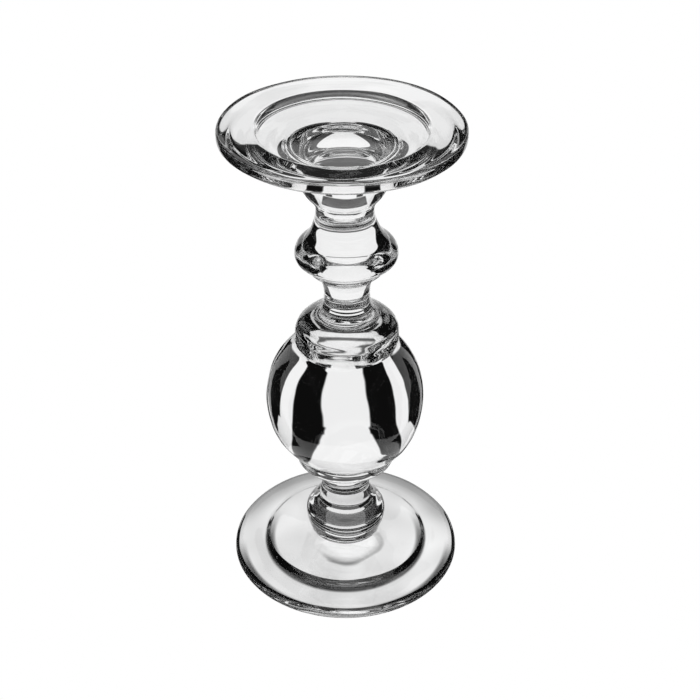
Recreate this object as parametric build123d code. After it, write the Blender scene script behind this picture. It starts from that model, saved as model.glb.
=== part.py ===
from build123d import *
import os
from math import asin, cos, sin

# A turned glass candlestick for a pillar candle. Millimetres, +Z up, origin at
# the centre of the foot's underside. It is a stack of solid gathers of glass,
# all round about Z, that are welded to each other at flat discs. Each gather is
# outlined on its own as (radius, height above its lower weld) and then lifted
# to its place in the stack.

# Driving dimensions
TOTAL_HEIGHT = 250.0
FOOT_RADIUS = 60.3
DISH_RADIUS = 57.2
BULB_RADIUS = 40.3
CANDLE_RADIUS = 38.0            # a standard 76 mm pillar candle
CANDLE_CLEARANCE = 0.6

# Radii of the welds, from the foot upwards
FOOT_WELD = 18.8
WAIST_WELD = 15.0               # between the lower knop and the lower ring
BULB_WELD = 25.4                # both ends of the bulb
SHOULDER_WELD = 13.0
NECK_WELD = 12.8
COLLAR_WELD = 13.8
DISH_WELD = 25.4

# Foot
FOOT_HEIGHT = 14.4
FOOT_RECESS = 2.0               # the hollow under the middle of the foot
BEARING_INNER = 50.0            # the foot rests on a flat ring
BEARING_OUTER = FOOT_RADIUS - 0.5
FOOT_EDGE_Z = 0.8               # height of the widest line
FLANGE_RADIUS = FOOT_RADIUS - 5.0
FLANGE_Z = 4.5
STEP_BASE = (44.2, 5.6)
STEP_TOP = (40.3, 8.0)
DISC_SWEEP = (27.0, 11.6)

# Lower knop and the ring under the bulb
LOWER_KNOP_HEIGHT = 39.6
LOWER_KNOP_BELLY = (21.0, 10.1)
LOWER_KNOP_SHOULDER = (16.8, 17.4)
LOWER_KNOP_WAIST = (12.5, 29.1)
LOWER_RING_HEIGHT = 12.4
LOWER_RING_SWELL = (22.6, 5.4)
LOWER_RING_EDGE = (25.6, 9.0)

# Bulb: two half ellipses, the upper one a little taller, cut off at the welds
BULB_BASE = 41.3
BULB_CROWN = 44.3
BULB_CUT_ANGLE = asin((1 - (BULB_WELD / BULB_RADIUS) ** 2) ** 0.5)
BULB_HEIGHT = (BULB_BASE + BULB_CROWN) * sin(BULB_CUT_ANGLE)

# Neck, upper knop and collar
NECK_HEIGHT = 17.5
NECK_WAIST = (11.4, 8.5)
UPPER_KNOP_HEIGHT = 39.0
UPPER_KNOP_FLARE = (17.3, 4.5)
UPPER_KNOP_BELLY = (22.4, 10.0)
UPPER_KNOP_EDGE = (25.1, 14.0)
UPPER_KNOP_SWEEP = (19.6, 22.0)
UPPER_KNOP_TAPER = (15.3, 30.3)
COLLAR_HEIGHT = 27.0
COLLAR_CUP = (18.3, 7.0)
COLLAR_EDGE = (22.0, 17.0)
COLLAR_SPREAD = (1, 0.45)       # direction of the outline where it meets the dish

# Dish
DISH_HEIGHT = 14.0
UNDERSIDE_LEVEL = (33.0, 1.9)   # the underside levels out here, then turns up
UNDERSIDE_BEND = 12.0           # radius of that turn
UNDERSIDE_SLOPE = 11.5          # degrees
CONE_RADIUS = 49.5              # the slope runs out to here
RIM_TURN = (54.0, 7.4)          # on the round between the slope and the rim
RIM_ROUND_TOP = 1.1
RIM_EDGE = 2.6                  # upright part of the rim
WELL_DROP = 0.5                 # the flat of the dish falls this much to the well
WELL_DEPTH = 4.5
WELL_RADIUS = CANDLE_RADIUS + CANDLE_CLEARANCE
WELL_WALL_SPREAD = 1.9          # the wall leans out by this much

# Shoulder ring: takes the height that the other gathers leave
SHOULDER_HEIGHT = TOTAL_HEIGHT - (
    FOOT_HEIGHT
    + LOWER_KNOP_HEIGHT
    + LOWER_RING_HEIGHT
    + BULB_HEIGHT
    + NECK_HEIGHT
    + UPPER_KNOP_HEIGHT
    + COLLAR_HEIGHT
    + DISH_HEIGHT
)
SHOULDER_EDGE = (25.9, 5.6)
SHOULDER_CROWN = (21.6, SHOULDER_HEIGHT - 5.9)

# Directions of an outline, as (radius, height)
UP = (0, 1)
OUTWARD = (1, 0)
INWARD = (-1, 0)


def turned(outer, underside=None):
    """Turn a half outline about the Z axis. The outer edges run from the bottom
    to the top, which closes as a flat disc, and so does the bottom unless an
    edge for the underside runs from the axis to the first outer edge."""
    start = outer[0] @ 0
    end = outer[-1] @ 1
    if underside is None:
        underside = Line((0, start.Y), start)
    lid = Line(end, (0, end.Y))
    axis_line = Line(lid @ 1, underside @ 0)
    return revolve(Plane.XZ * make_face([*outer, lid, axis_line, underside]), Axis.Z)


def make_foot():
    """A flange with a rounded edge, a small step and a raised disc that rises
    to the stem. The underside is hollow inside a flat bearing ring."""
    underside = ThreePointArc(
        (0, FOOT_RECESS),
        (BEARING_INNER / 2, FOOT_RECESS * 0.75),
        (BEARING_INNER, 0),
    )
    bearing = Line(underside @ 1, (BEARING_OUTER, 0))
    lower_edge = Spline(bearing @ 1, (FOOT_RADIUS, FOOT_EDGE_Z), tangents=[(1, 0.3), UP])
    upper_edge = EllipticalCenterArc(
        (FLANGE_RADIUS, FOOT_EDGE_Z),
        FOOT_RADIUS - FLANGE_RADIUS,
        FLANGE_Z - FOOT_EDGE_Z,
        arc_size=90,
    )
    flange = Spline(upper_edge @ 1, STEP_BASE, tangents=[INWARD, (-1, 0.15)])
    step = Spline(STEP_BASE, STEP_TOP, tangents=[(-1, 0.15), (-1, 0.25)])
    disc = Spline(
        STEP_TOP,
        DISC_SWEEP,
        (FOOT_WELD, FOOT_HEIGHT),
        tangents=[(-1, 0.25), (-1, 0.36)],
    )
    return turned([bearing, lower_edge, upper_edge, flange, step, disc], underside)


def make_lower_knop():
    """A squat knop on the foot that draws in to a waist."""
    body = Spline((FOOT_WELD, 0), LOWER_KNOP_BELLY, tangents=[(0.2, 1), UP])
    shoulder = Spline(
        LOWER_KNOP_BELLY,
        LOWER_KNOP_SHOULDER,
        LOWER_KNOP_WAIST,
        (WAIST_WELD, LOWER_KNOP_HEIGHT),
        tangents=[UP, (0.55, 1)],
    )
    return turned([body, shoulder])


def make_lower_ring():
    """A rounded cushion that the bulb sits on."""
    swell = Spline((WAIST_WELD, 0), LOWER_RING_SWELL, LOWER_RING_EDGE, tangents=[(1, 0.6), UP])
    lip = Spline(LOWER_RING_EDGE, (BULB_WELD, LOWER_RING_HEIGHT), tangents=[UP, (-0.25, 1)])
    return turned([swell, lip])


def bulb_point(angle):
    """A point on the bulb's outline, at an angle above its widest line."""
    half_height = BULB_CROWN if angle > 0 else BULB_BASE
    widest_z = BULB_BASE * sin(BULB_CUT_ANGLE)
    return (BULB_RADIUS * cos(angle), widest_z + half_height * sin(angle))


def make_bulb():
    """The large ball, cut flat where it meets the rings above and below."""
    shares = [0, 0.25, 0.5, 0.75, 1]
    base = Spline(*[bulb_point((share - 1) * BULB_CUT_ANGLE) for share in shares])
    crown = Spline(*[bulb_point(share * BULB_CUT_ANGLE) for share in shares])
    return turned([base, crown])


def make_shoulder_ring():
    """A thick ring on top of the bulb, rounded over into the neck."""
    lip = Spline((BULB_WELD, 0), SHOULDER_EDGE, tangents=[(0.35, 1), UP])
    crown = Spline(
        SHOULDER_EDGE,
        SHOULDER_CROWN,
        (SHOULDER_WELD, SHOULDER_HEIGHT),
        tangents=[UP, (-1, 0.9)],
    )
    return turned([lip, crown])


def make_neck():
    """The waisted neck between the shoulder ring and the upper knop."""
    waist = Spline(
        (SHOULDER_WELD, 0),
        NECK_WAIST,
        (NECK_WELD, NECK_HEIGHT),
        tangents=[(-0.5, 1), (0.4, 1)],
    )
    return turned([waist])


def make_upper_knop():
    """An onion-shaped knop, full below its widest line and swept in above it."""
    belly = Spline(
        (NECK_WELD, 0),
        UPPER_KNOP_FLARE,
        UPPER_KNOP_BELLY,
        UPPER_KNOP_EDGE,
        tangents=[(0.45, 1), UP],
    )
    sweep = Spline(
        UPPER_KNOP_EDGE,
        UPPER_KNOP_SWEEP,
        UPPER_KNOP_TAPER,
        (COLLAR_WELD, UPPER_KNOP_HEIGHT),
        tangents=[UP, UP],
    )
    return turned([belly, sweep])


def make_plate_collar():
    """A rounded cup that spreads at the top to carry the dish."""
    cup = Spline(
        (COLLAR_WELD, 0),
        COLLAR_CUP,
        COLLAR_EDGE,
        (DISH_WELD, COLLAR_HEIGHT),
        tangents=[(0.25, 1), COLLAR_SPREAD],
    )
    return turned([cup])


def make_drip_plate():
    """The dish: a thick plate with a rounded rim, a shallow flat-floored well on
    top and an underside that spreads from the collar and rises to the rim."""
    well_edge_z = DISH_HEIGHT - WELL_DROP
    edge_top = (DISH_RADIUS, DISH_HEIGHT - RIM_ROUND_TOP)
    edge_bottom = (DISH_RADIUS, DISH_HEIGHT - RIM_ROUND_TOP - RIM_EDGE)
    spread = Spline((DISH_WELD, 0), UNDERSIDE_LEVEL, tangents=[COLLAR_SPREAD, OUTWARD])
    bend = JernArc(
        start=UNDERSIDE_LEVEL,
        tangent=OUTWARD,
        radius=UNDERSIDE_BEND,
        arc_size=UNDERSIDE_SLOPE,
    )
    slope = bend % 1
    cone_z = (bend @ 1).Y + (CONE_RADIUS - (bend @ 1).X) * slope.Y / slope.X
    cone = Line(bend @ 1, (CONE_RADIUS, cone_z))
    lower_round = Spline(cone @ 1, RIM_TURN, edge_bottom, tangents=[slope, UP])
    edge = Line(lower_round @ 1, edge_top)
    upper_round = TangentArc(edge @ 1, (DISH_RADIUS - RIM_ROUND_TOP, DISH_HEIGHT), tangent=UP)
    flat = Line(upper_round @ 1, (WELL_RADIUS + WELL_WALL_SPREAD, well_edge_z))
    wall = Spline(
        flat @ 1,
        (WELL_RADIUS, well_edge_z - WELL_DEPTH),
        tangents=[(-1, -0.4), (-1, -0.4)],
    )
    return turned([spread, bend, cone, lower_round, edge, upper_round, flat, wall])


# The stack, from the bottom up: name, maker and height
STACK = [
    ("foot", make_foot, FOOT_HEIGHT),
    ("lower_knop", make_lower_knop, LOWER_KNOP_HEIGHT),
    ("lower_ring", make_lower_ring, LOWER_RING_HEIGHT),
    ("bulb", make_bulb, BULB_HEIGHT),
    ("shoulder_ring", make_shoulder_ring, SHOULDER_HEIGHT),
    ("neck", make_neck, NECK_HEIGHT),
    ("upper_knop", make_upper_knop, UPPER_KNOP_HEIGHT),
    ("plate_collar", make_plate_collar, COLLAR_HEIGHT),
    ("drip_plate", make_drip_plate, DISH_HEIGHT),
]

os.makedirs("parts", exist_ok=True)
weld_level = 0.0
for name, make_piece, height in STACK:
    export_step(Pos(0, 0, weld_level) * make_piece(), f"parts/{name}.step")
    weld_level += height
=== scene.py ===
import math

import bpy
import numpy as np
from mathutils import Euler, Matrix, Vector, noise


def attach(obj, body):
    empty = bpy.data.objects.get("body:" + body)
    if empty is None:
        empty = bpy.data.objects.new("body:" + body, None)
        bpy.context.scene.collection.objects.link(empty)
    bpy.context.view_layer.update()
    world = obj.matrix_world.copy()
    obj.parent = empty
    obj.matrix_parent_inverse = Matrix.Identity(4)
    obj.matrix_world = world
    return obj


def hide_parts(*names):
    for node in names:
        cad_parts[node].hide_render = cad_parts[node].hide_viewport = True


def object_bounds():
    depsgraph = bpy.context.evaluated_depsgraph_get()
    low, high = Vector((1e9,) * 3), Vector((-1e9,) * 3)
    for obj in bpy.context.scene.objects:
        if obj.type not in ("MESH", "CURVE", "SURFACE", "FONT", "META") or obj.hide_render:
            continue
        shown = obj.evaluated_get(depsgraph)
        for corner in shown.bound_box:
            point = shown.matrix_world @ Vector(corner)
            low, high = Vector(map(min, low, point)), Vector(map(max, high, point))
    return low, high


# A clear glass candlestick in a bright-field studio. Metres, +Z up, in the CAD
# frame. Each CAD node is one gather of glass, round about Z. Its visual piece
# is turned afresh from the node's own outline, with soft corners and the slight
# waves of hand-made glass, and stands for the node.

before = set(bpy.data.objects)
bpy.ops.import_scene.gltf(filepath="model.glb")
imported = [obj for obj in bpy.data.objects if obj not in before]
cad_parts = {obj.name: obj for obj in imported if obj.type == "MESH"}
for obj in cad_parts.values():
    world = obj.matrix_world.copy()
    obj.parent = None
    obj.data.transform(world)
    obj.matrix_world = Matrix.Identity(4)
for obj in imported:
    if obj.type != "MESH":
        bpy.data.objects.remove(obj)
cad_low, cad_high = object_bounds()

MM = 0.001
HEIGHT = cad_high.z

# Turning
SEAM_TOL = 1e-6                 # how far a seam point may lie off the XZ plane
SEAM_DIGITS = 7                 # seam points that agree this closely are one
CORNER_TURN = math.radians(12)  # a sharper turn of an outline is a corner
SHARP_EDGE = math.radians(40)   # faces that meet more sharply are shaded apart
OUTLINE_STEP = 0.4 * MM
SOFTENING_PASSES = 4            # each pass rounds a corner a little more
SEGMENTS = 360
WELD_FADE = 2.5 * MM            # waves die away this close to a weld or the table
# Hand-made gathers sit a little off the axis: how far, at shares of the height
LEAN_AT = [0.0, 0.48, 0.57, 0.64, 0.75, 0.85, 0.96]
LEAN = [0.0, 0.0, 1.1 * MM, 1.1 * MM, 0.7 * MM, 0.0, -1.0 * MM]

# Camera, as shares of the object's height
CAMERA_DISTANCE = 2.342 * HEIGHT
CAMERA_RISE = 2.106 * HEIGHT
CAMERA_PITCH = math.radians(34.31)
CAMERA_YAW = math.radians(-0.24)
CAMERA_LENS = 72.76             # mm, on a 36 mm sensor

# Glass
GLASS_IOR = 1.5
GLASS_TINTS = ((0.985, 0.988, 0.99, 1.0), (0.995, 0.996, 0.997, 1.0))
POLISH_PATCHES = 90.0           # patches of uneven polish in a metre
ROUGHEST = 0.004
CLEAR_RIPPLES = (12 * MM, 0.02 * MM)    # their size and height
TOOLED_RIPPLES = (5 * MM, 0.03 * MM)

BOUNCES = 32
WELD_PASSES = 64                # welds that one ray may go through

PALE = (1.0, 1.0, 1.0, 1.0)
FLOOR_REACH = 20 * HEIGHT
FLOOR_DROP = 0.2 * MM           # how far the floor lies below the foot

# Studio. The lit wall stands all round, and its tone is how light it looks.
WALL_RADIUS = 8 * HEIGHT
WALL_TONE = 0.97
TONE_CURVE = 2.2                # from how light something looks to its light
FRONT_TONE = 0.08               # the unlit studio on the camera's side
FRONT_SIDE = 94                 # where it begins, degrees from straight behind
FRONT_RISE = (-40, 43)          # its lower and upper edge, degrees of rise

# Cards stand before the wall. A card is its lower and upper edge, in degrees
# above the horizon, how far its two sides are from straight behind, and its
# tone. If it is slanted, the sides at the upper edge follow. The same card
# stands on the left and on the right, and later cards hide earlier ones.
MIDDLE = -1                     # a side here leaves no gap straight behind
ALL_ROUND = 181                 # a side here leaves no gap in front
CARD_EDGE = 0.8                 # how soft its edges are, degrees
UNDER_FOOT_CARDS = [
    (-45, -25, 19, 34, 0.12),
    (-56, -25, 41, FRONT_SIDE, 0.15),
    (-76, -40, 100, ALL_ROUND, 0.1),
    (-91, -66, MIDDLE, ALL_ROUND, 0.15),
]

# Which cards light sees goes by the height at which it leaves the glass. Each
# set of cards serves from some way above the lower end of a node, up to where
# the next set begins.
HOLLOW_RISE = 2.2 * MM          # the deeper middle of the foot's underside
DISC_RISE = 6 * MM              # above this the foot's light comes up by the stem
SET_DROP = 0.6 * MM             # a set also serves this far below its start
SET_EDGE = 0.2 * MM
CARD_SETS = [
    ("foot", 0.0, [(-31, 24, MIDDLE, FRONT_SIDE, 0.05)] + UNDER_FOOT_CARDS),
    ("foot", HOLLOW_RISE, [
        (-22, 24, MIDDLE, FRONT_SIDE, 0.12),
        (24, 75, 18, FRONT_SIDE, 0.12),
        (48, 75, MIDDLE, 18, 0.12),
    ] + UNDER_FOOT_CARDS),
    ("foot", DISC_RISE, [
        (-5, 29, MIDDLE, 12, 0.4),
        (-45, 26, 12, 34, 0.12, 12, 38),
        (-56, 50, 41, FRONT_SIDE, 0.15),
    ]),
    ("lower_knop", 0.0, [
        (20, 38, MIDDLE, 30, 0.2),
        (-36, -31, MIDDLE, 60, 0.3),
        (-31, -27, 17, 60, 0.3),
        (-60, 60, 45, 180, 0.15),
        (-75, -45, 140, ALL_ROUND, 0.08),
    ]),
    ("lower_ring", 0.0, [
        (-35, -22, FRONT_SIDE, ALL_ROUND, 0.15),
        (-22, -19, FRONT_SIDE, ALL_ROUND, 0.8),
        (-60, 60, 45, FRONT_SIDE, 0.15),
    ]),
    ("bulb", 0.0, [
        (-52, -18, 12, 30, 0.08),
        (-22, 31, 11, 29, 0.08, 33, 47),
        (-52, -13, 43, 92, 0.08, 43, 75),
        (-17, 7, 43, 75, 0.08, 57, 60),
        (-80, -71, MIDDLE, 55, 0.25),
        (-65.5, -63, MIDDLE, 40, 0.4),
        (32, 80, 50, ALL_ROUND, 0.1),
    ]),
    ("shoulder_ring", 0.0, [
        (-41, -33, MIDDLE, 60, 0.1),
        (-60, 80, 29, ALL_ROUND, 0.05),
    ]),
    ("neck", 0.0, [
        (-40, 80, 38, ALL_ROUND, 0.1),
    ]),
    ("upper_knop", 0.0, [
        (-36, 90, 35, ALL_ROUND, 0.08),
        (-46, -37, MIDDLE, 40, 0.4),
        (-64, -52, MIDDLE, 25, 0.45),
        (-55, -36, 92, ALL_ROUND, 0.4),
    ]),
    ("plate_collar", 0.0, [
        (3, 21, MIDDLE, 20, 0.25, MIDDLE, 27),
        (8, 28, 33, 60, 0.08),
        (-21, -14, 12, 24, 0.1),
        (-14, 2, 11, 17, 0.15),
        (-41, -21, MIDDLE, 60, 0.15),
        (-75, -35, 33, 90, 0.3),
    ]),
    ("drip_plate", 0.0, [
        (-21, 27, MIDDLE, 20, 0.2),
        (42, 62, 4, 30, 0.25),
        (-60, 60, 35, FRONT_SIDE, 0.08),
    ]),
]

# The table shows through the foot, for light that leaves the glass below the
# underside's top and falls more steeply than the table's rise. It is painted on
# the lit wall, with painted caustic light and painted shades.
UNDERSIDE_TOP = 3 * MM
UNDERSIDE_EDGE = 0.5 * MM
TABLE_RISE = -28
# Its tone, darker than the floor's: painted shade under the foot
TABLE_TONE = 0.89
PAINTED_CAUSTICS = 0.14                   # how far painted caustic light and shade swing its tone
PAINTED_CAUSTICS_SIZE = 30 * MM
# Painted shades on it: where they lie, in metres from the middle, and how deep they are
STEP_SHADE = (38 * MM, 43 * MM, 0.66)
RIM_SHADE = (54.5 * MM, 0.6)
BACK_SHADE = (44 * MM, 60 * MM, 0.27)
STEM_SHADE = (9 * MM, 0.5)
STEP_SHADE_EDGE = 1.2 * MM
RIM_SHADE_EDGE = 1 * MM
STEM_SHADE_EDGE = 2 * MM
# Where a shade sets in round the foot: 1 is straight in front of the stem, or
# behind it for the shade at the back, and 0 is beside the stem
STEP_SETS_IN = (-0.5, 0.2)
RIM_SETS_IN = (0.0, 0.5)


# ---------------------------------------------------------------- outlines

def seam_outline(node):
    """A CAD node's outline as (radius, height) points, read along its seam."""
    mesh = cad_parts[node].data
    links = {}
    for edge in mesh.edges:
        ends = [mesh.vertices[i].co for i in edge.vertices]
        if any(abs(co.y) > SEAM_TOL or co.x < -SEAM_TOL for co in ends):
            continue
        a, b = [(round(co.x, SEAM_DIGITS), round(co.z, SEAM_DIGITS)) for co in ends]
        if a != b:
            links.setdefault(a, set()).add(b)
            links.setdefault(b, set()).add(a)
    tips = [point for point in links if len(links[point]) == 1]
    # The walk starts at the underside: at the axis, or else at the lower end
    outline = [min(tips, key=lambda p: (p[0] > SEAM_TOL, p[1]))]
    before = None
    while True:
        onward = [p for p in links[outline[-1]] if p != before]
        if not onward:
            return np.array(outline)
        before = outline[-1]
        outline.append(onward[0])


def turn_angles(points):
    """The angle by which an outline turns at each inner point."""
    steps = np.diff(points, axis=0)
    headings = np.arctan2(steps[:, 1], steps[:, 0])
    turns = np.diff(headings)
    return np.abs((turns + math.pi) % (2 * math.pi) - math.pi)


def smooth_stretch(points):
    """A stretch without corners, resampled evenly along a cubic curve."""
    steps = np.linalg.norm(np.diff(points, axis=0), axis=1)
    lengths = np.concatenate([[0], np.cumsum(steps)])
    count = max(2, math.ceil(lengths[-1] / OUTLINE_STEP) + 1)
    at = np.linspace(0, lengths[-1], count)
    if len(points) == 2:
        return points[0] + (points[1] - points[0]) * (at / lengths[-1])[:, None]
    slopes = np.gradient(points, lengths, axis=0)
    span = np.clip(np.searchsorted(lengths, at, side="right") - 1, 0, len(points) - 2)
    width = (lengths[span + 1] - lengths[span])[:, None]
    t = (at - lengths[span])[:, None] / width
    return (
        (2 * t**3 - 3 * t**2 + 1) * points[span]
        + (t**3 - 2 * t**2 + t) * width * slopes[span]
        + (3 * t**2 - 2 * t**3) * points[span + 1]
        + (t**3 - t**2) * width * slopes[span + 1]
    )


def fine_outline(node, to_axis):
    """The node's outline, evenly spaced, with its inner corners softened."""
    points = seam_outline(node)
    if to_axis:
        points = np.vstack([points, [0.0, points[-1][1]]])
    corners = [0]
    corners += [i + 1 for i, turn in enumerate(turn_angles(points)) if turn > CORNER_TURN]
    corners.append(len(points) - 1)
    stretches = [smooth_stretch(points[a:b + 1]) for a, b in zip(corners, corners[1:])]
    fine = np.vstack([stretches[0]] + [s[1:] for s in stretches[1:]])
    for _ in range(SOFTENING_PASSES):
        fine[1:-1] = fine[1:-1] / 2 + (fine[:-2] + fine[2:]) / 4
    return fine


# ---------------------------------------------------------------- turning

def smooth_step(share):
    share = np.clip(share, 0, 1)
    return share * share * (3 - 2 * share)


def weld_fade(outline, low_weld, high_weld):
    """How far the waves are let through at each point of an outline."""
    steps = np.linalg.norm(np.diff(outline, axis=0), axis=1)
    along = np.concatenate([[0], np.cumsum(steps)])
    fade = np.ones(len(outline))
    if low_weld:
        fade *= smooth_step(along / WELD_FADE)
    if high_weld:
        fade *= smooth_step((along[-1] - along) / WELD_FADE)
    return fade * smooth_step((outline[:, 1] - cad_low.z) / WELD_FADE)


def outline_normals(outline):
    """Unit normals of an outline, pointing out of the glass."""
    along = np.gradient(outline, axis=0)
    normals = np.stack([along[:, 1], -along[:, 0]], axis=1)
    return normals / np.linalg.norm(normals, axis=1, keepdims=True)


def wave_height(point, waves):
    """Sum of soft waves at a point. A wave is its depth, the width and height
    of a swell, and a seed."""
    total = 0.0
    for depth, width, rise, seed in waves:
        place = Vector((point[0] / width, point[1] / width, point[2] / rise + seed))
        total += depth * noise.noise(place)
    return total


def turned_piece(name, node, low_weld, high_weld, waves, material, weld):
    """Turns a node's outline about Z into a closed piece of waved glass."""
    outline = fine_outline(node, to_axis=not high_weld)
    normals = outline_normals(outline)
    fade = weld_fade(outline, low_weld, high_weld)
    lean = np.interp(outline[:, 1] / HEIGHT, LEAN_AT, LEAN)
    angles = np.arange(SEGMENTS) * 2 * math.pi / SEGMENTS
    around = np.stack([np.cos(angles), np.sin(angles)], axis=1)

    vertices = []
    rings = []
    for (radius, z), (out, up), share, aside in zip(outline, normals, fade, lean):
        if radius < SEAM_TOL:
            rings.append([len(vertices)] * SEGMENTS)
            vertices.append((aside, 0.0, z))
            continue
        rings.append(list(range(len(vertices), len(vertices) + SEGMENTS)))
        for c, s in around:
            lift = share * wave_height((radius * c, radius * s, z), waves)
            reach = radius + lift * out
            vertices.append((reach * c + aside, reach * s, z + lift * up))

    faces = []
    for below, above in zip(rings, rings[1:]):
        for i in range(SEGMENTS):
            j = (i + 1) % SEGMENTS
            corner = [below[i], below[j], above[j], above[i]]
            faces.append(tuple(dict.fromkeys(corner)))
    glass_faces = len(faces)
    if low_weld:
        faces.append(tuple(reversed(rings[0])))
    if high_weld:
        faces.append(tuple(rings[-1]))

    mesh = bpy.data.meshes.new(name)
    mesh.from_pydata(vertices, [], faces)
    mesh.materials.append(material)
    mesh.materials.append(weld)
    indices = np.zeros(len(faces), dtype=np.int32)
    indices[glass_faces:] = 1
    mesh.polygons.foreach_set("material_index", indices)
    mesh.polygons.foreach_set("use_smooth", indices == 0)
    mesh.set_sharp_from_angle(angle=SHARP_EDGE)
    mesh.validate()
    piece = bpy.data.objects.new(name, mesh)
    bpy.context.scene.collection.objects.link(piece)
    return piece


# ---------------------------------------------------------------- materials

def new_material(name):
    """An empty node material, with its nodes and links."""
    material = bpy.data.materials.new(name)
    material.use_nodes = True
    material.node_tree.nodes.clear()
    return material, material.node_tree.nodes, material.node_tree.links


def glass_material(name, ripple_size, ripple_height):
    """Clear fire-polished glass: faint ripples, and a trace of uneven polish."""
    material, nodes, links = new_material(name)
    output = nodes.new("ShaderNodeOutputMaterial")
    shader = nodes.new("ShaderNodeBsdfPrincipled")
    place = nodes.new("ShaderNodeTexCoord")
    ripples = nodes.new("ShaderNodeTexNoise")
    bump = nodes.new("ShaderNodeBump")
    polish = nodes.new("ShaderNodeTexNoise")
    polish_range = nodes.new("ShaderNodeMapRange")
    tint = nodes.new("ShaderNodeMix")

    shader.inputs["Transmission Weight"].default_value = 1.0
    shader.inputs["IOR"].default_value = GLASS_IOR
    ripples.inputs["Scale"].default_value = 1 / ripple_size
    ripples.inputs["Detail"].default_value = 1.0
    bump.inputs["Strength"].default_value = 1.0
    bump.inputs["Distance"].default_value = ripple_height
    polish.inputs["Scale"].default_value = POLISH_PATCHES
    polish_range.inputs["To Min"].default_value = 0.0
    polish_range.inputs["To Max"].default_value = ROUGHEST
    tint.data_type = "RGBA"
    tint.inputs["A"].default_value, tint.inputs["B"].default_value = GLASS_TINTS

    links.new(place.outputs["Object"], ripples.inputs["Vector"])
    links.new(place.outputs["Object"], polish.inputs["Vector"])
    links.new(ripples.outputs["Fac"], bump.inputs["Height"])
    links.new(polish.outputs["Fac"], polish_range.inputs["Value"])
    links.new(polish.outputs["Fac"], tint.inputs["Factor"])
    links.new(bump.outputs["Normal"], shader.inputs["Normal"])
    links.new(polish_range.outputs["Result"], shader.inputs["Roughness"])
    links.new(tint.outputs["Result"], shader.inputs["Base Color"])
    links.new(shader.outputs["BSDF"], output.inputs["Surface"])
    return material


def weld_material():
    """A welded joint: two gathers run together, so light passes straight on."""
    material, nodes, links = new_material("weld")
    output = nodes.new("ShaderNodeOutputMaterial")
    clear = nodes.new("ShaderNodeBsdfTransparent")
    links.new(clear.outputs["BSDF"], output.inputs["Surface"])
    return material


def floor_material():
    """An evenly lit pale floor."""
    material, nodes, links = new_material("pale_floor")
    output = nodes.new("ShaderNodeOutputMaterial")
    glow = nodes.new("ShaderNodeEmission")
    glow.inputs["Color"].default_value = PALE
    links.new(glow.outputs["Emission"], output.inputs["Surface"])
    return material


# ---------------------------------------------------------------- studio

class Sums:
    """Builds arithmetic out of nodes in a node tree."""

    def __init__(self, tree):
        self.tree = tree

    def op(self, kind, *values):
        """One operation of a math node. A value is a number or a socket."""
        node = self.tree.nodes.new("ShaderNodeMath")
        node.operation = kind
        for socket, value in zip(node.inputs, values):
            if isinstance(value, (int, float)):
                socket.default_value = value
            else:
                self.tree.links.new(value, socket)
        return node.outputs[0]

    def ramp(self, value, low, high):
        """0 below low and 1 above high, with a soft edge between them."""
        node = self.tree.nodes.new("ShaderNodeMapRange")
        node.interpolation_type = "SMOOTHSTEP"
        self.tree.links.new(value, node.inputs["Value"])
        node.inputs["From Min"].default_value = low
        node.inputs["From Max"].default_value = high
        return node.outputs["Result"]

    def fall(self, value, low, high):
        """1 below low and 0 above high, with a soft edge between them."""
        return self.op("SUBTRACT", 1.0, self.ramp(value, low, high))

    def within(self, value, low, high, edge):
        """1 between low and high, 0 outside, with soft edges."""
        rise = self.ramp(value, low - edge, low + edge)
        fall = self.ramp(value, high - edge, high + edge)
        return self.op("SUBTRACT", rise, fall)

    def mix(self, share, start, end):
        """From start to end, as share goes from 0 to 1."""
        return self.op("MULTIPLY_ADD", share, self.op("SUBTRACT", end, start), start)


def studio_world():
    """The even white backdrop."""
    world = bpy.data.worlds.new("studio")
    bpy.context.scene.world = world
    world.use_nodes = True
    backdrop = world.node_tree.nodes["Background"]
    backdrop.inputs["Color"].default_value = PALE
    backdrop.inputs["Strength"].default_value = 1.0


def wall_view(tree, sums):
    """How a ray reached the wall: the angle of its way from straight behind,
    the angle it climbs at, and where it left the glass."""
    geometry = tree.nodes.new("ShaderNodeNewGeometry")
    place = tree.nodes.new("ShaderNodeTexCoord")
    path = tree.nodes.new("ShaderNodeLightPath")
    back = tree.nodes.new("ShaderNodeVectorTransform")
    back.vector_type = "VECTOR"
    back.convert_from = "WORLD"
    back.convert_to = "OBJECT"
    tree.links.new(geometry.outputs["Incoming"], back.inputs["Vector"])
    start = tree.nodes.new("ShaderNodeVectorMath")
    start.operation = "MULTIPLY_ADD"
    tree.links.new(back.outputs["Vector"], start.inputs[0])
    tree.links.new(path.outputs["Ray Length"], start.inputs[1])
    tree.links.new(place.outputs["Object"], start.inputs[2])

    way = tree.nodes.new("ShaderNodeSeparateXYZ")
    tree.links.new(back.outputs["Vector"], way.inputs["Vector"])
    across = sums.op("ABSOLUTE", way.outputs["X"])
    onward = sums.op("MULTIPLY", way.outputs["Y"], -1.0)
    side = sums.op("DEGREES", sums.op("ARCTAN2", across, onward))
    rise = sums.op("MULTIPLY", sums.op("DEGREES", sums.op("ARCSINE", way.outputs["Z"])), -1.0)
    return side, rise, start.outputs["Vector"]


def card_cover(sums, side, rise, low, high, near, far, top_near, top_far):
    """1 behind a card and 0 beside it, with a soft edge."""
    share = sums.op("DIVIDE", sums.op("SUBTRACT", rise, low), high - low)
    cover = sums.within(rise, low, high, CARD_EDGE)
    for edge_low, edge_high, inward in ((near, top_near, 1), (far, top_far, -1)):
        edge = sums.op("MULTIPLY_ADD", share, edge_high - edge_low, edge_low)
        beyond = sums.op("MULTIPLY", sums.op("SUBTRACT", side, edge), inward)
        cover = sums.op("MULTIPLY", cover, sums.ramp(beyond, -CARD_EDGE, CARD_EDGE))
    return cover


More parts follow.
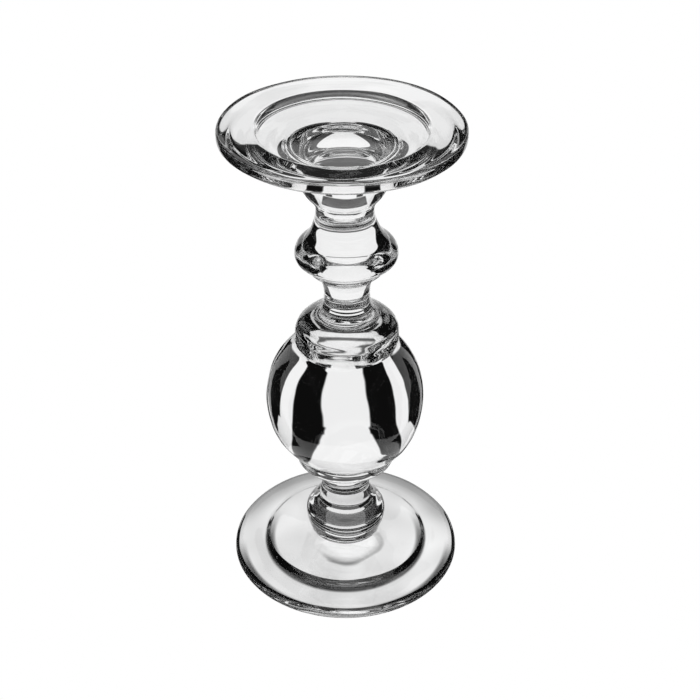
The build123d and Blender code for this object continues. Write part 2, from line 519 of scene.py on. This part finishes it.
def card_set_tone(sums, side, rise, cards, backdrop):
    """What a set of cards looks like before a backdrop."""
    tone = backdrop
    for low, high, near, far, card_tone, *top in cards:
        top_near, top_far = top or (near, far)
        cover = card_cover(sums, side, rise, low, high, near, far, top_near, top_far)
        tone = sums.mix(cover, tone, card_tone)
    return tone


def table_shades(sums, x, y):
    """The painted shades below the step, the front of the rim, its back and the stem.
    Each comes as where it lies, from 0 to 1, and how deep it is."""
    radius = sums.op("SQRT", sums.op("ADD", sums.op("MULTIPLY", x, x), sums.op("MULTIPLY", y, y)))
    frontness = sums.op("DIVIDE", sums.op("MULTIPLY", y, -1.0), radius)
    backness = sums.op("MULTIPLY", frontness, -1.0)

    inner, outer, step_depth = STEP_SHADE
    step = sums.within(radius, inner, outer, STEP_SHADE_EDGE)
    step = sums.op("MULTIPLY", step, sums.ramp(frontness, *STEP_SETS_IN))

    rim_start, rim_depth = RIM_SHADE
    rim = sums.ramp(radius, rim_start - RIM_SHADE_EDGE, rim_start + RIM_SHADE_EDGE)
    rim = sums.op("MULTIPLY", rim, sums.ramp(frontness, *RIM_SETS_IN))

    back_start, back_end, back_depth = BACK_SHADE
    back = sums.ramp(radius, back_start, back_end)
    back = sums.op("MULTIPLY", back, sums.ramp(backness, *RIM_SETS_IN))

    stem_end, stem_depth = STEM_SHADE
    stem = sums.fall(radius, stem_end - STEM_SHADE_EDGE, stem_end + STEM_SHADE_EDGE)
    return (step, step_depth), (rim, rim_depth), (back, back_depth), (stem, stem_depth)


def table_tone(tree, sums, start, x, y):
    """The table under the foot, with painted caustic light and painted shades."""
    # Painted caustic light and shade: noise lightens and darkens the table
    painted_caustics_noise = tree.nodes.new("ShaderNodeTexNoise")
    painted_caustics_noise.inputs["Scale"].default_value = 1 / PAINTED_CAUSTICS_SIZE
    painted_caustics_noise.inputs["Detail"].default_value = 1.0
    tree.links.new(start, painted_caustics_noise.inputs["Vector"])
    caustic_swing = sums.op("SUBTRACT", painted_caustics_noise.outputs["Fac"], 0.5)
    tone = sums.op("MULTIPLY_ADD", caustic_swing, 2 * PAINTED_CAUSTICS, TABLE_TONE)
    # Painted shades darken the table
    for shade, depth in table_shades(sums, x, y):
        tone = sums.op("SUBTRACT", tone, sums.op("MULTIPLY", shade, depth))
    return tone


def wall_material():
    """The lit wall, its unlit front, the painted table and the sets of cards."""
    material, nodes, links = new_material("lit_wall")
    sums = Sums(material.node_tree)
    side, rise, start = wall_view(material.node_tree, sums)
    spot = nodes.new("ShaderNodeSeparateXYZ")
    links.new(start, spot.inputs["Vector"])
    height = spot.outputs["Z"]

    front = sums.op(
        "MULTIPLY",
        sums.ramp(side, FRONT_SIDE - CARD_EDGE, FRONT_SIDE + CARD_EDGE),
        sums.within(rise, *FRONT_RISE, CARD_EDGE),
    )
    plain = sums.op("MULTIPLY_ADD", front, FRONT_TONE - WALL_TONE, WALL_TONE)
    table = table_tone(material.node_tree, sums, start, spot.outputs["X"], spot.outputs["Y"])
    under = sums.op(
        "MULTIPLY",
        sums.fall(height, UNDERSIDE_TOP - UNDERSIDE_EDGE, UNDERSIDE_TOP + UNDERSIDE_EDGE),
        sums.fall(rise, TABLE_RISE - 1, TABLE_RISE + 1),
    )
    below = sums.mix(under, plain, table)

    tone = plain
    for node, lift, cards in CARD_SETS:
        seen = card_set_tone(sums, side, rise, cards, below if node == "foot" else plain)
        set_start = seam_outline(node)[:, 1].min() + lift - SET_DROP
        above = sums.ramp(height, set_start - SET_EDGE, set_start + SET_EDGE)
        tone = sums.mix(above, tone, seen)

    glow = nodes.new("ShaderNodeEmission")
    output = nodes.new("ShaderNodeOutputMaterial")
    links.new(sums.op("POWER", sums.op("MAXIMUM", tone, 0.0), TONE_CURVE), glow.inputs["Strength"])
    links.new(glow.outputs["Emission"], output.inputs["Surface"])
    return material


def stage_mesh(name, vertices, faces, material):
    """A mesh of the stage. Only the camera, reflections and refraction see it."""
    mesh = bpy.data.meshes.new(name)
    mesh.from_pydata(vertices, [], faces)
    mesh.materials.append(material)
    thing = bpy.data.objects.new(name, mesh)
    bpy.context.scene.collection.objects.link(thing)
    thing.visible_diffuse = False
    thing.visible_volume_scatter = False
    thing.visible_shadow = False
    return thing


def lit_wall():
    """A box of light all round, for the glass alone to see. It turns with the
    camera, so its middle is always behind the object."""
    corners = [
        (WALL_RADIUS * x, WALL_RADIUS * y, WALL_RADIUS * z)
        for z in (-1, 1) for y in (-1, 1) for x in (-1, 1)
    ]
    sides = [(0, 1, 3, 2), (4, 6, 7, 5), (0, 4, 5, 1), (2, 3, 7, 6), (0, 2, 6, 4), (1, 5, 7, 3)]
    wall = stage_mesh("lit_wall", corners, sides, wall_material())
    wall.visible_camera = False
    turn = wall.constraints.new("COPY_ROTATION")
    turn.target = bpy.context.scene.camera
    turn.use_x = False
    turn.use_y = False


def pale_floor():
    """A wide floor that only the camera sees."""
    z = cad_low.z - FLOOR_DROP
    quarters = ((-1, -1), (1, -1), (1, 1), (-1, 1))
    corners = [(FLOOR_REACH * x, FLOOR_REACH * y, z) for x, y in quarters]
    floor = stage_mesh("floor", corners, [(0, 1, 2, 3)], floor_material())
    floor.visible_glossy = False
    floor.visible_transmission = False


def camera():
    """Above and in front of the object, looking down at it."""
    data = bpy.data.cameras.new("camera")
    data.lens = CAMERA_LENS
    data.clip_start = 0.01
    data.clip_end = 100
    cam = bpy.data.objects.new("camera", data)
    cam.location = (0, -CAMERA_DISTANCE, CAMERA_RISE)
    cam.rotation_euler = Euler((math.pi / 2 - CAMERA_PITCH, 0, CAMERA_YAW))
    bpy.context.scene.collection.objects.link(cam)
    bpy.context.scene.camera = cam


def light_paths():
    """Enough bounces for light to find its way out of stacked solid glass."""
    cycles = bpy.context.scene.cycles
    cycles.max_bounces = BOUNCES
    cycles.transmission_bounces = BOUNCES
    cycles.glossy_bounces = BOUNCES
    cycles.transparent_max_bounces = WELD_PASSES
    cycles.blur_glossy = 0.0
    cycles.sample_clamp_indirect = 0.0
    bpy.context.scene.view_settings.view_transform = "Standard"


# ---------------------------------------------------------------- pieces

# A wave is its depth, the width and height of a swell, and a seed
SLIGHT_WAVES = [(0.35 * MM, 22 * MM, 14 * MM, 0.0)]
PLATE_WAVES = [(0.35 * MM, 26 * MM, 20 * MM, 0.0)]
BULB_WAVES = [(0.7 * MM, 26 * MM, 16 * MM, 0.0), (0.15 * MM, 9 * MM, 8 * MM, 3.0)]
RIPPLED_WAVES = [(0.2 * MM, 22 * MM, 14 * MM, 0.0), (0.14 * MM, 14 * MM, 2.4 * MM, 5.0)]

# Node, whether it is welded below and above, the look of its glass, its waves
GATHERS = [
    ("foot", False, True, "clear_glass", SLIGHT_WAVES),
    ("lower_knop", True, True, "clear_glass", SLIGHT_WAVES),
    ("lower_ring", True, True, "clear_glass", SLIGHT_WAVES),
    ("bulb", True, True, "clear_glass", BULB_WAVES),
    ("shoulder_ring", True, True, "rippled_glass", RIPPLED_WAVES),
    ("neck", True, True, "clear_glass", SLIGHT_WAVES),
    ("upper_knop", True, True, "clear_glass", SLIGHT_WAVES),
    ("plate_collar", True, True, "clear_glass", PLATE_WAVES),
    ("drip_plate", True, False, "clear_glass", PLATE_WAVES),
]


def glass_pieces():
    """One piece for each gather, in place of its CAD node."""
    weld = weld_material()
    looks = {
        "clear_glass": glass_material("clear_glass", *CLEAR_RIPPLES),
        "rippled_glass": glass_material("rippled_glass", *TOOLED_RIPPLES),
    }
    for node, low_weld, high_weld, slot, waves in GATHERS:
        piece = turned_piece(node + "_glass", node, low_weld, high_weld, waves, looks[slot], weld)
        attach(piece, "root")
        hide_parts(node)


glass_pieces()
studio_world()
pale_floor()
camera()
lit_wall()
light_paths()
